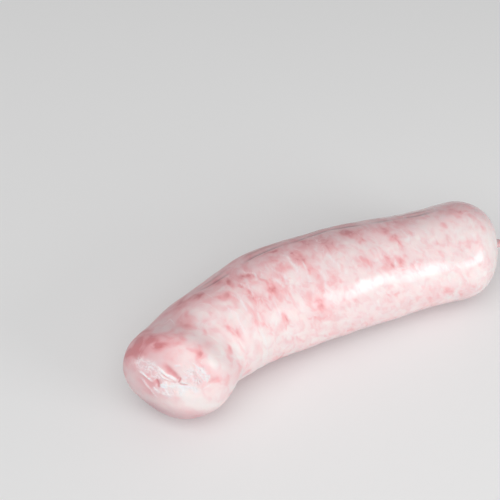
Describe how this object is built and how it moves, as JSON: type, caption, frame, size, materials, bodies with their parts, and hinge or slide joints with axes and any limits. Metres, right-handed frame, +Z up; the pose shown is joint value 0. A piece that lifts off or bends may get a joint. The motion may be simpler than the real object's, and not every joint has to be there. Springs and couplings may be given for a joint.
{
  "type": "raw pork sausage link",
  "caption": "Bent raw sausage link in a natural casing, with blunt round ends, a gathered casing twist at one end and a short casing tail at the other.",
  "frame": {"origin": "middle of the bounding box's underside, on the surface that the link lies on", "axes": "+X from the gathered twist to the casing tail, along the link's longest extent; -Y to the hollow side of its bend; +Z up"},
  "size_m": [0.129, 0.0428, 0.0336],
  "materials": {
    "sausage_casing": "wet translucent natural casing over coarse pale pink pork, glossy and slightly lumpy"
  },
  "bodies": {
    "root": {"sausage_link": "sausage_casing"}
  },
  "joints": []
}
